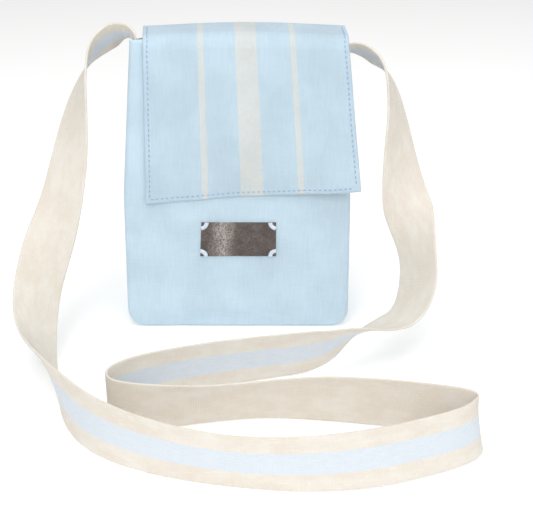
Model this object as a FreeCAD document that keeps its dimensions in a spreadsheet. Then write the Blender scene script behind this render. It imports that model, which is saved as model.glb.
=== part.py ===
import FreeCAD, Part
import math
import os
import re

import Sketcher

# A flat-bottomed canvas cross-body pouch with a fold-over flap and one long webbing
# shoulder strap. Millimetres. The origin is the centre of the base, the front faces -Y.
# The body is a wedge: its front panel leans back and its back panel leans out a little.
# Outer cloth, stiff interlining and lining lie one inside the other, JOIN apart.

V = FreeCAD.Vector

DIMENSIONS = {
    # body
    "bottom_width": 180,
    "top_width": 162,
    "taper_start": 110,
    "corner_radius": 14,
    "bottom_depth": 64,
    "front_top_y": 4,
    "back_top_y": 52,
    "front_height": 230,
    "back_height": 226,
    "gusset_height": 204,
    # cloth; each ply's hem stands back from the panel's own edges
    "canvas": 1.2,
    "interlining": 1.4,
    "lining": 0.8,
    "layer_gap": 0.05,
    "ring_gap": 0.1,
    "interlining_hem": 2,
    "lining_hem": 1,
    "facing_height": 18,
    "facing_width": 144,
    "board_length": 148,
    "board_width": 54,
    "board_thickness": 1.5,
    "board_corner": 4,
    # flap
    "flap_left": -73,
    "flap_right": 86,
    "flap_right_low": 97,
    "flap_left_drop": 105,
    "flap_right_drop": 114,
    "flap_stand_off": 0.8,
    "root_height": 24,
    "back_fold_y": 55,
    "back_fold_z": 228,
    "front_fold_y": 3.3,
    "front_fold_z": 231.1,
    "fold_clearance": 0.5,
    "stitch_inset": 3.5,
    "stitch_width": 0.8,
    "stitch_height": 0.3,
    # magnetic closure
    "magnet_radius": 6,
    "magnet_thickness": 1.3,
    "magnet_clearance": 0.2,
    "magnet_x": 12,
    "magnet_z": 128,
    # leather patch
    "patch_width": 60,
    "patch_height": 27,
    "patch_thickness": 1.6,
    "patch_x": 1,
    "patch_z": 75.3,
    "corner_stitch_radius": 6,
    "corner_stitch_width": 1.6,
    "corner_stitch_height": 0.8,
    # shoulder strap
    "strap_width": 38,
    "strap_thickness": 2,
    "strap_end_length": 30,
    "strap_end_top": 190,
    "strap_end_y": 23,
    "box_stitch_length": 24,
    "box_stitch_width": 30,
}

# The strap's free length from one sewn end to the other: each point of its middle line,
# then the direction across the strap there, from its lower edge to its upper edge.
STRAP_ROUTE = [
    ((-80.8, 23, 190), (0, 1, 0)),
    ((-79.75, 23, 204), (0, 1, 0)),
    ((-76.5, 26, 220), (0, 1, -0.1)),
    ((-83, 26, 229.5), (-0.1, 0.9, -0.5)),
    ((-96, 23, 230), (-0.1, 0.72, -0.72)),
    ((-110, 16, 220), (-0.12, 0.7, -0.7)),
    ((-119, 9, 201), (-0.3, 0.85, -0.4)),
    ((-125, 0, 175), (-0.6, 0.75, -0.25)),
    ((-130, -14, 141), (-0.85, 0.5, -0.2)),
    ((-137, -30, 107), (-0.9, 0.3, -0.1)),
    ((-148, -50, 75), (-0.9, -0.3, 0.1)),
    ((-154, -72, 47), (-0.75, -0.45, 0.3)),
    ((-149, -98, 27), (-0.6, -0.3, 0.7)),
    ((-136, -128, 19.2), (-0.4, 0, 0.9)),
    ((-119, -165, 19.2), (-0.1, 0.3, 1)),
    ((-95, -197, 19.2), (0, 0.4, 1)),
    ((-55, -222, 19.2), (0, 0.2, 1)),
    ((-5, -238, 19.2), (0, 0, 1)),
    ((45, -242, 19.2), (0, 0.15, 1)),
    ((92, -235, 19.2), (0, 0.4, 1)),
    ((130, -221, 19.2), (0, 0.4, 1)),
    ((152, -211, 19.2), (0, 0.4, 1)),
    ((164, -201, 19.2), (-0.1, 0.4, 1)),
    ((166, -189, 19.2), (-0.15, 0.3, 1)),
    ((152, -181, 19.2), (-0.1, 0.1, 1)),
    ((130, -175, 19.2), (0, 0, 1)),
    ((96, -169, 19.2), (0, 0, 1)),
    ((58, -165, 19.2), (0, -0.1, 1)),
    ((22, -166, 19.2), (0, -0.3, 1)),
    ((-20, -173, 19.2), (0, -0.3, 1)),
    ((-52, -176, 19.2), (0, -0.1, 1)),
    ((-76, -174, 19.2), (0, 0, 1)),
    ((-87, -167, 19.2), (0, 0, 1)),
    ((-88, -155, 19.2), (0, 0, 1)),
    ((-78, -144, 19.2), (0, 0, 1)),
    ((-57, -133, 19.2), (0, 0, 1)),
    ((-20, -120, 19.2), (0, 0, 1)),
    ((28, -108.5, 19.2), (0, -0.05, 1)),
    ((61, -102, 20), (0, -0.15, 1)),
    ((88, -95, 31), (0.05, -0.7, 0.65)),
    ((112, -86, 32), (0.15, -0.95, 0.25)),
    ((131, -75, 35), (0.35, -0.93, 0.15)),
    ((141, -62, 54), (0.6, -0.78, 0.1)),
    ((140.5, -48, 78), (0.6, -0.77, 0.1)),
    ((136, -34, 97), (0.78, -0.52, 0)),
    ((131, -22, 116), (0.92, 0.25, -0.2)),
    ((127.5, -8, 145), (0.7, 0.65, -0.3)),
    ((124.5, 2, 178), (0.42, 0.87, -0.3)),
    ((117, 11, 206), (0.2, 0.88, -0.45)),
    ((104, 18, 216), (0.15, 0.8, -0.57)),
    ((91, 25, 218), (0.05, 0.9, -0.4)),
    ((79.5, 26, 215), (0, 1, -0.15)),
    ((79.75, 23, 204), (0, 1, 0)),
    ((80.8, 23, 190), (0, 1, 0)),
]

FRONT_SLOPE = "((front_top_y + bottom_depth / 2) / front_height)"
BACK_SLOPE = "((back_top_y - bottom_depth / 2) / back_height)"
PLIES = "(canvas + interlining + lining + 3 * layer_gap)"
INTERLINING_NEAR = "(canvas + layer_gap)"
LINING_NEAR = "(canvas + interlining + 2 * layer_gap)"
LINING_RING = "(canvas + ring_gap)"
INNER_RING = "(canvas + lining + 2 * ring_gap)"
ARC_SHARE = 0.45
ARC_STEPS = 4

# Which point of a sketch's line or arc a constraint holds.
START, END, CENTRE = 1, 2, 3

doc = FreeCAD.newDocument("pouch")
sheet = doc.addObject("Spreadsheet::Sheet", "dims")
pieces = []


def write_sheet():
    for row, (alias, size) in enumerate(DIMENSIONS.items(), start=1):
        sheet.set(f"A{row}", alias)
        sheet.set(f"B{row}", str(size))
        sheet.setAlias(f"B{row}", alias)
    doc.recompute()


def bound(expression):
    """The expression with every dimension's name, but no function's, pointing at its cell."""
    return re.sub(r"[a-z]+(?:_[a-z]+)*\b(?!\()", lambda word: "dims." + word.group(0), expression)


def value(expression):
    return float(sheet.evalExpression(bound(expression)))


def piece(obj, label):
    obj.Label = label
    pieces.append(obj)
    return obj


# ---------------------------------------------------------------- sketches

def pin(sketch, geometry, end, across, up):
    """Tie one point of a sketch to the sheet."""
    for kind, expression in (("DistanceX", across), ("DistanceY", up)):
        if expression is None:
            continue
        index = sketch.addConstraint(Sketcher.Constraint(kind, geometry, end, value(expression)))
        sketch.setExpression(f"Constraints[{index}]", bound(expression))


def polygon(sketch, corners):
    """A closed straight-sided outline whose corners are pairs of expressions."""
    points = [V(value(x), value(y), 0) for x, y in corners]
    lines = []
    for here, there in zip(points, points[1:] + points[:1]):
        lines.append(sketch.addGeometry(Part.LineSegment(here, there)))
    for line, following in zip(lines, lines[1:] + lines[:1]):
        sketch.addConstraint(Sketcher.Constraint("Coincident", line, END, following, START))
    for line, (x, y) in zip(lines, corners):
        pin(sketch, line, START, x, y)


def circle(sketch, radius, x, y):
    ring = sketch.addGeometry(Part.Circle(V(value(x), value(y), 0), V(0, 0, 1), value(radius)))
    index = sketch.addConstraint(Sketcher.Constraint("Radius", ring, value(radius)))
    sketch.setExpression(f"Constraints[{index}]", bound(radius))
    pin(sketch, ring, CENTRE, x, y)


def side_sketch(name):
    """A sketch seen from the bag's side: its X is the bag's Y, its Y is up."""
    sketch = doc.addObject("Sketcher::SketchObject", name)
    turn = FreeCAD.Rotation(V(0, 1, 0), V(0, 0, 1), V(1, 0, 0), "XYZ")
    sketch.Placement = FreeCAD.Placement(V(), turn)
    return sketch


def front_sketch(name):
    """A sketch seen from the front: its X is the bag's X, its Y is up."""
    sketch = doc.addObject("Sketcher::SketchObject", name)
    sketch.Placement = FreeCAD.Placement(V(), FreeCAD.Rotation(V(1, 0, 0), 90))
    return sketch


def extrude(sketch, name, forward, backward=None):
    """Extrude both ways by half of forward, or by forward and backward."""
    solid = doc.addObject("Part::Extrusion", name)
    solid.Base = sketch
    solid.DirMode = "Normal"
    solid.Solid = True
    solid.setExpression("LengthFwd", bound(forward))
    if backward is None:
        solid.Symmetric = True
    else:
        solid.setExpression("LengthRev", bound(backward))
    return solid


def combine(kind, base, tool, name):
    result = doc.addObject(f"Part::{kind}", name)
    result.Base = base
    result.Tool = tool
    return result


# ---------------------------------------------------------------- the body's shells

def outline(inset):
    """The front view of the body, inset all round, as a prism along Y."""
    sketch = front_sketch(f"outline_{len(doc.Objects)}")
    half = f"(bottom_width / 2 - ({inset}))"
    top = f"(top_width / 2 - ({inset}))"
    bend = "(bottom_width / 2 - corner_radius)"
    corners = [
        (f"-{bend}", inset), (bend, inset), (half, "corner_radius"), (half, "taper_start"),
        (top, "front_height"), (f"-{top}", "front_height"),
        (f"-{half}", "taper_start"), (f"-{half}", "corner_radius"),
    ]
    bends = {1: (bend, -90, 0), 7: (f"-{bend}", 180, 270)}
    points = [V(value(x), value(z), 0) for x, z in corners]
    for index, point in enumerate(points):
        if index in bends:
            centre, start, end = bends[index]
            ring = Part.Circle(V(value(centre), value("corner_radius"), 0), V(0, 0, 1),
                               value(f"corner_radius - ({inset})"))
            sketch.addGeometry(Part.ArcOfCircle(ring, math.radians(start), math.radians(end)))
            pin(sketch, index, CENTRE, centre, "corner_radius")
        else:
            sketch.addGeometry(Part.LineSegment(point, points[(index + 1) % len(points)]))
    for index in range(len(corners)):
        following = (index + 1) % len(corners)
        sketch.addConstraint(Sketcher.Constraint("Coincident", index, END, following, START))
    for index, (x, z) in enumerate(corners):
        meets_bend_at_side = index in (2, 7)
        pin(sketch, index, START, None if meets_bend_at_side else x, z)
    return extrude(sketch, f"{sketch.Name}_prism", "3 * bottom_depth")


def front_at(height, depth):
    """Y of the front panel's plane at a height, moved into the bag by depth."""
    return f"(-bottom_depth / 2 + {FRONT_SLOPE} * ({height}) + ({depth}))"


def back_at(height, depth):
    return f"(bottom_depth / 2 + {BACK_SLOPE} * ({height}) - ({depth}))"


def slab(face, near, far, low, high):
    """A leaning sheet along the front or the back, between two depths and two heights."""
    at = front_at if face == "front" else back_at
    sketch = side_sketch(f"slab_{len(doc.Objects)}")
    polygon(sketch, [
        (at(low, near), low), (at(low, far), low), (at(high, far), high), (at(high, near), high),
    ])
    return extrude(sketch, f"slab_{len(doc.Objects)}", "2 * bottom_width")


def between(depth, low, high):
    """The space between the front and the back, seen from the side."""
    sketch = side_sketch(f"between_{len(doc.Objects)}")
    polygon(sketch, [
        (front_at(low, depth), low), (back_at(low, depth), low),
        (back_at(high, depth), high), (front_at(high, depth), high),
    ])
    return extrude(sketch, f"between_{len(doc.Objects)}", "2 * bottom_width")


def disc(label, radius, out, thickness):
    """A disc lying in the front panel's plane, from out and thickness outwards."""
    solid = doc.addObject("Part::Cylinder", label)
    solid.setExpression("Radius", bound(radius))
    solid.setExpression("Height", bound(thickness))
    solid.Placement = on_front(value("magnet_x"), value("magnet_z"), value(out))
    return solid


def span(label, left, right):
    """A tall box from left to right that trims a slab to a width."""
    box = doc.addObject("Part::Box", f"{label}_span")
    box.setExpression("Length", bound(f"{right} - ({left})"))
    box.setExpression("Width", bound("3 * bottom_depth"))
    box.setExpression("Height", bound("front_height"))
    box.Placement.Base = V(value(left), -box.Width.Value / 2, 0)
    return box


def build_panel(face, whole, inner):
    """The front's or the back's outer cloth, stiff interlining, lining and facing."""
    height = f"{face}_height"
    panel = slab(face, "0", "canvas", "0", height)
    piece(combine("Common", whole, panel, f"{face}_panel"), f"{face}_panel")

    stiffener = slab(face, INTERLINING_NEAR, f"{INTERLINING_NEAR} + interlining",
                     INNER_RING, f"{height} - interlining_hem")
    stiffener = combine("Common", inner, stiffener, f"{face}_stiffener")
    if face == "front":
        hole = disc("body_magnet_hole", "magnet_radius + magnet_clearance",
                    f"-{INTERLINING_NEAR} - interlining", "interlining")
        stiffener = combine("Cut", stiffener, hole, "front_stiffener_holed")
    piece(stiffener, f"{face}_interlining")

    cloth = slab(face, LINING_NEAR, f"{LINING_NEAR} + lining", INNER_RING, f"{height} - lining_hem")
    piece(combine("Common", inner, cloth, f"{face}_lining"), f"{face}_lining")

    facing = slab(face, PLIES, f"{PLIES} + lining",
                  f"{height} - facing_height", f"{height} - lining_hem")
    width = span(f"{face}_facing", "-facing_width / 2", "facing_width / 2")
    piece(combine("Common", facing, width, f"{face}_facing"), f"{face}_facing")


def build_body():
    whole = outline("0")
    inner = outline(INNER_RING)
    build_panel("front", whole, inner)
    build_panel("back", whole, inner)

    ring = combine("Cut", whole, outline("canvas"), "gusset_ring")
    strip = between(INTERLINING_NEAR, "0", "gusset_height")
    piece(combine("Common", ring, strip, "gusset"), "gusset")

    ring = combine("Cut", outline(LINING_RING), outline(f"{LINING_RING} + lining"), "gusset_lining_ring")
    strip = between(INTERLINING_NEAR, LINING_RING, "gusset_height - lining_hem")
    piece(combine("Common", ring, strip, "gusset_lining"), "gusset_lining")

    back_of_magnet = f"-{INTERLINING_NEAR} - magnet_thickness"
    piece(disc("body_disc", "magnet_radius", back_of_magnet, "magnet_thickness"), "body_magnet")


# ---------------------------------------------------------------- flat pieces as bodies

def lean():
    return math.degrees(math.atan(value(FRONT_SLOPE)))


def on_front(x, z, out):
    """A placement on the front panel: X across, Y up the panel, Z outwards."""
    angle = math.radians(lean())
    y = -value("bottom_depth / 2") + z * math.tan(angle)
    base = V(x, y - out * math.cos(angle), z + out * math.sin(angle))
    return FreeCAD.Placement(base, FreeCAD.Rotation(V(1, 0, 0), 90 - lean()))


def new_body(label):
    body = doc.addObject("PartDesign::Body", label)
    return piece(body, label)


def flat_sketch(body, name):
    sketch = body.newObject("Sketcher::SketchObject", name)
    plane = next(item for item in body.Origin.OriginFeatures if item.Role == "XY_Plane")
    sketch.AttachmentSupport = [(plane, "")]
    sketch.MapMode = "FlatFace"
    return sketch


def pad(body, sketch, thickness):
    feature = body.newObject("PartDesign::Pad", f"{body.Name}_pad")
    feature.Profile = sketch
    feature.setExpression("Length", bound(thickness))
    return feature


def round_upright_edges(body, feature, radius):
    doc.recompute()
    edges = []
    for index, edge in enumerate(feature.Shape.Edges, start=1):
        ends = [vertex.Point for vertex in edge.Vertexes]
        if abs(ends[0].x - ends[1].x) < 1e-6 and abs(ends[0].y - ends[1].y) < 1e-6:
            edges.append(f"Edge{index}")
    rounding = body.newObject("PartDesign::Fillet", f"{body.Name}_fillet")
    rounding.Base = (feature, edges)
    rounding.setExpression("Radius", bound(radius))


def build_base_board():
    body = new_body("base_board")
    sketch = flat_sketch(body, "board_outline")
    half_x, half_y = "board_length / 2", "board_width / 2"
    polygon(sketch, [(f"-{half_x}", f"-{half_y}"), (half_x, f"-{half_y}"),
                     (half_x, half_y), (f"-{half_x}", half_y)])
    round_upright_edges(body, pad(body, sketch, "board_thickness"), "board_corner")
    body.Placement.Base = V(0, 0, value(INNER_RING))


FLAP_TOP = "(front_height - fold_clearance)"
FLAP_INTERLINING_OUT = "flap_stand_off + lining + layer_gap"


def flap_corners(inset="0"):
    """The hanging part of the flap on the front panel's plane, from its lower left."""
    up = f"/ cos(atan({FRONT_SLOPE}))"
    return [
        (f"flap_left + {inset}", f"(flap_left_drop + {inset}) {up}"),
        (f"flap_right_low - {inset}", f"(flap_right_drop + {inset}) {up}"),
        (f"flap_right - {inset}", f"{FLAP_TOP} {up}"),
        (f"flap_left + {inset}", f"{FLAP_TOP} {up}"),
    ]


def build_flap():
    root_top = "(back_height - interlining_hem)"
    root = slab("back", "-layer_gap - canvas", "-layer_gap", f"{root_top} - root_height", root_top)
    width = span("flap_root", "flap_left", "flap_right")
    piece(combine("Common", root, width, "flap_root"), "flap_root")

    rise = "((front_fold_z - back_fold_z) / (back_fold_y - front_fold_y))"
    for label, low, high in (("flap_top_lining", "0", "lining"),
                             ("flap_top_canvas", "lining + layer_gap", "lining + layer_gap + canvas")):
        sketch = side_sketch(f"{label}_section")
        back_y = "(back_fold_y - fold_clearance)"
        front_y = "(front_fold_y + fold_clearance)"
        back_z = f"(back_fold_z + {rise} * fold_clearance)"
        front_z = f"(front_fold_z - {rise} * fold_clearance)"
        polygon(sketch, [(back_y, f"{back_z} + {low}"), (back_y, f"{back_z} + {high}"),
                         (front_y, f"{front_z} + {high}"), (front_y, f"{front_z} + {low}")])
        piece(extrude(sketch, label, "flap_right", "-flap_left"), label)

    layers = (
        ("flap_front_lining", "flap_stand_off", "lining", "lining_hem"),
        ("flap_interlining", FLAP_INTERLINING_OUT, "interlining", "interlining_hem"),
        ("flap_front_canvas", "flap_stand_off + lining + interlining + 2 * layer_gap", "canvas", "0"),
    )
    for label, out, thickness, inset in layers:
        body = new_body(label)
        sketch = flat_sketch(body, f"{label}_outline")
        polygon(sketch, flap_corners(inset))
        pad(body, sketch, thickness)
        if label == "flap_interlining":
            hole = flat_sketch(body, "magnet_hole")
            circle(hole, "magnet_radius + magnet_clearance", "magnet_x",
                   f"magnet_z / cos(atan({FRONT_SLOPE}))")
            pocket = body.newObject("PartDesign::Pocket", "magnet_pocket")
            pocket.Profile = hole
            pocket.Type = "ThroughAll"
            pocket.Reversed = True
        body.Placement = on_front(0, 0, value(out))

    piece(disc("flap_disc", "magnet_radius", FLAP_INTERLINING_OUT, "magnet_thickness"), "flap_magnet")


def build_flap_topstitch():
    """One raised line of thread round the three free edges of the flap."""
    body = new_body("flap_topstitch")
    sketch = flat_sketch(body, "topstitch_outline")
    outer = flap_corners("stitch_inset")
    inner = flap_corners("(stitch_inset + stitch_width)")
    polygon(sketch, [outer[3], outer[0], outer[1], outer[2], inner[2], inner[1], inner[0], inner[3]])
    pad(body, sketch, "stitch_height")
    out = "flap_stand_off + lining + interlining + canvas + 3 * layer_gap"
    body.Placement = on_front(0, 0, value(out))


# ---------------------------------------------------------------- leather patch

def build_patch():
    body = new_body("leather_patch")
    sketch = flat_sketch(body, "patch_outline")
    half_x, half_y = "patch_width / 2", "patch_height / 2"
    polygon(sketch, [(f"-{half_x}", f"-{half_y}"), (half_x, f"-{half_y}"),
                     (half_x, half_y), (f"-{half_x}", half_y)])
    pad(body, sketch, "patch_thickness")
    body.Placement = on_front(value("patch_x"), value("patch_z"), value("layer_gap"))

    quarters = []
    for index, (side_x, side_y, turn) in enumerate(((-1, -1, 0), (1, -1, 90), (1, 1, 180), (-1, 1, 270))):
        rings = []
        for name, radius in (("outer", "corner_stitch_radius"),
                             ("inner", "corner_stitch_radius - corner_stitch_width")):
            ring = doc.addObject("Part::Cylinder", f"stitch_{name}_{index}")
            ring.setExpression("Radius", bound(radius))
            ring.setExpression("Height", bound("corner_stitch_height"))
            ring.Angle = 90
            local = V(side_x * value(half_x), side_y * value(half_y), 0)
            corner = FreeCAD.Placement(local, FreeCAD.Rotation(V(0, 0, 1), turn))
            out = value("patch_thickness + 2 * layer_gap")
            face = on_front(value("patch_x"), value("patch_z"), out)
            ring.Placement = face.multiply(corner)
            rings.append(ring)
        quarters.append(combine("Cut", rings[0], rings[1], f"corner_stitch_{index}"))
    group = doc.addObject("Part::Compound", "patch_stitches")
    group.Links = quarters
    piece(group, "patch_stitches")


# ---------------------------------------------------------------- shoulder strap

def side_wall(side, height, inside):
    """A placement on the tapered side wall: X outwards, Z up the wall."""
    slope = value("(bottom_width - top_width) / 2 / (front_height - taper_start)")
    reach = value("bottom_width / 2") - slope * (height - value("taper_start")) - inside
    tilt = math.degrees(math.atan(slope))
    turn = FreeCAD.Rotation(V(0, 1, 0), -side * tilt)
    return FreeCAD.Placement(V(side * reach, value("strap_end_y"), height), turn)


def build_strap_ends():
    """The two sewn-in ends of the strap, and the box of stitches that holds each one."""
    stack = value("canvas + lining + 2 * ring_gap + strap_thickness / 2")
    middle = value("strap_end_top - strap_end_length / 2")
    for side, word in ((-1, "left"), (1, "right")):
        end = doc.addObject("Part::Box", f"{word}_end")
        end.setExpression("Length", bound("strap_thickness"))
        end.setExpression("Width", bound("strap_width"))
        end.setExpression("Height", bound("strap_end_length"))
        half = V(-value("strap_thickness / 2"), -value("strap_width / 2"), -value("strap_end_length / 2"))
        wall = side_wall(side, middle, stack)
        end.Placement = wall.multiply(FreeCAD.Placement(half, FreeCAD.Rotation()))
        piece(end, f"{word}_strap_end")

        frames = []
        for name, trim in (("outer", "0"), ("inner", "stitch_width")):
            box = doc.addObject("Part::Box", f"{word}_box_{name}")
            box.setExpression("Length", bound("stitch_height"))
            box.setExpression("Width", bound(f"box_stitch_width - 2 * {trim}"))
            box.setExpression("Height", bound(f"box_stitch_length - 2 * {trim}"))
            shift = V(-value("stitch_height / 2"), -value(f"box_stitch_width / 2 - {trim}"),
                      -value(f"box_stitch_length / 2 - {trim}"))
            outside = side_wall(side, middle, -value("layer_gap + stitch_height / 2"))
            box.Placement = outside.multiply(FreeCAD.Placement(shift, FreeCAD.Rotation()))
            frames.append(box)
        piece(combine("Cut", frames[0], frames[1], f"{word}_frame"), f"{word}_box_stitch")


def mix(start, end, share):
    return start * (1 - share) + end * share


def strap_sections():
    """Middle points, tangents and across-directions along straight runs and tangent arcs."""
    points = [V(*point) for point, _ in STRAP_ROUTE]
    across = [V(*direction).normalize() for _, direction in STRAP_ROUTE]
    first = (points[1] - points[0]).normalize()
    sections = [(points[0], first, across[0])]
    length, radii = 0.0, []
    previous = points[0]
    for here in range(1, len(points) - 1):
        before, after = points[here] - points[here - 1], points[here + 1] - points[here]
        run_in, run_out = before.Length, after.Length
        turn = before.getAngle(after)
        trim = ARC_SHARE * min(run_in, run_out)
        radius = trim / math.tan(turn / 2)
        radii.append(radius)
        way_in, way_out = V(before).normalize(), V(after).normalize()
        start = points[here] - way_in * trim
        normal = (way_out - way_in * way_in.dot(way_out)).normalize()
        centre = start + normal * radius
        length += (start - previous).Length + radius * turn
        from_last = mix(across[here], across[here - 1], trim / run_in)
        to_next = mix(across[here], across[here + 1], trim / run_out)
        for step in range(ARC_STEPS + 1):
            share = step / ARC_STEPS
            angle = turn * share
            place = centre - normal * radius * math.cos(angle) + way_in * radius * math.sin(angle)
            tangent = way_in * math.cos(angle) + normal * math.sin(angle)
            sections.append((place, tangent, mix(from_last, to_next, share)))
        previous = points[here] + way_out * trim
    length += (points[-1] - previous).Length
    last = (points[-1] - points[-2]).normalize()
    sections.append((points[-1], last, across[-1]))
    return sections, length, radii


def build_strap():
    half_width = value("strap_width / 2")
    half_thickness = value("strap_thickness / 2")
    sections, length, radii = strap_sections()
    wires = []
    for place, tangent, across in sections:
        side = (across - tangent * across.dot(tangent)).normalize()
        face = tangent.cross(side).normalize()
        corners = [place + side * (half_width * w) + face * (half_thickness * f)
                   for w, f in ((1, 1), (-1, 1), (-1, -1), (1, -1), (1, 1))]
        wires.append(Part.makePolygon(corners))
    strap = doc.addObject("Part::Feature", "shoulder_strap")
    strap.Shape = Part.makeLoft(wires, True, True)
    piece(strap, "shoulder_strap")
    expected = value("strap_width * strap_thickness") * length
    print(f"strap length {length:.0f} mm, volume over section times length "
          f"{strap.Shape.Volume / expected:.3f}")
    print("strap radii, mm:", " ".join(f"{radius:.0f}" for radius in radii))


# ---------------------------------------------------------------- check and write

def check_and_write():
    doc.recompute()
    for obj in doc.Objects:
        if "Invalid" in obj.State or "Error" in obj.State:
            raise RuntimeError(f"{obj.Label} failed: {obj.State}")
    for obj in pieces:
        if obj.Shape.isNull() or not obj.Shape.isValid() or not obj.Shape.Solids:
            raise RuntimeError(f"{obj.Label} has no valid solid")
    os.makedirs("parts", exist_ok=True)
    for obj in pieces:
        obj.Shape.exportStep(os.path.join("parts", f"{obj.Label}.step"))
        box = obj.Shape.BoundBox
        print(f"{obj.Label:20s} {obj.Shape.Volume / 1000:8.2f} cm3 "
              f"x {box.XMin:7.1f} {box.XMax:7.1f} y {box.YMin:7.1f} {box.YMax:7.1f} "
              f"z {box.ZMin:6.1f} {box.ZMax:6.1f} solids {len(obj.Shape.Solids)}")


write_sheet()
build_body()
build_base_board()
build_flap()
build_flap_topstitch()
build_patch()
build_strap_ends()
build_strap()
check_and_write()
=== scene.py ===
import math
import random

import bmesh
import bpy
import numpy as np
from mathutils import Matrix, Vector, noise


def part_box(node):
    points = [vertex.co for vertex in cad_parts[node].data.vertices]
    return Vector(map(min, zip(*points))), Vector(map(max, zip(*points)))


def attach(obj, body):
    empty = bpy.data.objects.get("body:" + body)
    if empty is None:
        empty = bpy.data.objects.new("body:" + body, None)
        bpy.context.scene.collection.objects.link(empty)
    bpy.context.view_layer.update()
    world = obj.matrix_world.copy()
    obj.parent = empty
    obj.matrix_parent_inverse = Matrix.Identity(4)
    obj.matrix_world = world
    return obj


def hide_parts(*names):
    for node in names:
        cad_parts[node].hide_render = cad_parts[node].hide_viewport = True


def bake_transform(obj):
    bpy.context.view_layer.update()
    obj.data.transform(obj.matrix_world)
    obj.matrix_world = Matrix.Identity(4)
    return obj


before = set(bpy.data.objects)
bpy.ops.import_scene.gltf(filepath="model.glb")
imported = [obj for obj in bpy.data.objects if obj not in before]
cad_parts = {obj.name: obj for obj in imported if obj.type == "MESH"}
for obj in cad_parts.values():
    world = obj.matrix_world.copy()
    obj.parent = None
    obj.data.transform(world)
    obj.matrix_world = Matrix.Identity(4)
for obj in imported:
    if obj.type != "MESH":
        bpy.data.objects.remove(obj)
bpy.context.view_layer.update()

# A canvas cross-body pouch and its long webbing strap. Shapes are worked out in
# millimetres in the CAD's frame and written to the meshes in metres.

MM = 0.001
random.seed(7)

# ---------------------------------------------------------------- sizes from the frame

front_low, front_high = (np.array(corner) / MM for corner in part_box("front_panel"))
back_low, back_high = (np.array(corner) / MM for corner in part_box("back_panel"))
flap_high = np.array(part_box("flap_front_canvas")[1]) / MM
top_low, top_high = (np.array(corner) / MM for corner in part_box("flap_top_canvas"))
gusset_high = np.array(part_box("gusset")[1]) / MM
patch_low, patch_high = (np.array(corner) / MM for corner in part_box("leather_patch"))

CANVAS = 1.2
HALF_WIDTH = front_high[0]
TOP_HALF_WIDTH = 81.0
TAPER_START = 110.0
CORNER = 14.0
FRONT_TOP = front_high[2]
BACK_TOP = back_high[2]
GUSSET_TOP = gusset_high[2]
FRONT_FOOT = front_low[1]
BACK_FOOT = back_low[1] + CANVAS
FRONT_SLOPE = (front_high[1] - CANVAS - FRONT_FOOT) / FRONT_TOP
BACK_SLOPE = (back_high[1] - BACK_FOOT) / BACK_TOP
SEAM_ROLL = 4.5
FOOT_PULL = 3.0


def front_y(z):
    return FRONT_FOOT + FRONT_SLOPE * z


def back_y(z):
    return BACK_FOOT + BACK_SLOPE * z


# ---------------------------------------------------------------- camera

camera_data = bpy.data.cameras.new("camera")
camera_data.sensor_fit = "HORIZONTAL"
camera_data.sensor_width = 36
camera_data.lens = 70.04
camera = bpy.data.objects.new("camera", camera_data)
camera.location = (0.0234, -0.7764, 0.4149)
camera.rotation_euler = (math.radians(65), 0, 0)
bpy.context.collection.objects.link(camera)
bpy.context.scene.camera = camera
bpy.context.scene.view_settings.view_transform = "Standard"


# ---------------------------------------------------------------- small helpers

def smooth(low, high, x):
    t = np.clip((np.asarray(x, float) - low) / (high - low), 0, 1)
    return t * t * (3 - 2 * t)


def ripple(x, y, scale, seed):
    """Smooth noise between -1 and 1 over arrays of positions in millimetres."""
    flat = [noise.noise(Vector((a / scale, b / scale, seed))) for a, b in zip(np.ravel(x), np.ravel(y))]
    return np.reshape(flat, np.shape(x))


def spaced(length, count, edge=(0, 0.15, 0.5, 1.0, 1.7, 2.8)):
    """Positions from 0 to length, close together at both ends."""
    middle = np.linspace(edge[-1], length - edge[-1], count)
    return np.concatenate([edge[:-1], middle, [length - e for e in edge[-2::-1]]])


def rounded_edge(distance, radius):
    """The share of the full thickness that a soft edge has at a distance from it."""
    t = 1 - np.clip(distance / radius, 0, 1)
    return np.sqrt(np.clip(1 - t * t, 0, 1)) * 0.94 + 0.06


def grid_normals(grid):
    along = np.gradient(grid, axis=0)
    across = np.gradient(grid, axis=1)
    normal = np.cross(along, across)
    return normal / np.maximum(np.linalg.norm(normal, axis=2, keepdims=True), 1e-9)


def new_object(name, vertices, faces, uvs=None, materials=(), slots=None):
    """A smooth mesh object from millimetre vertices, with one UV pair per vertex, also in millimetres."""
    mesh = bpy.data.meshes.new(name)
    mesh.from_pydata([tuple(v * MM for v in vertex) for vertex in vertices], [], faces)
    if uvs is not None:
        layer = mesh.uv_layers.new(name="cloth")
        corners = np.empty(len(mesh.loops), int)
        mesh.loops.foreach_get("vertex_index", corners)
        layer.data.foreach_set("uv", np.asarray(uvs, np.float32)[corners].ravel())
    for material in materials:
        mesh.materials.append(material)
    if slots is not None:
        mesh.polygons.foreach_set("material_index", slots)
    mesh.polygons.foreach_set("use_smooth", [True] * len(mesh.polygons))
    shape = bmesh.new()
    shape.from_mesh(mesh)
    bmesh.ops.recalc_face_normals(shape, faces=shape.faces)
    shape.to_mesh(mesh)
    shape.free()
    mesh.update()
    obj = bpy.data.objects.new(name, mesh)
    bpy.context.collection.objects.link(obj)
    return obj


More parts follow.
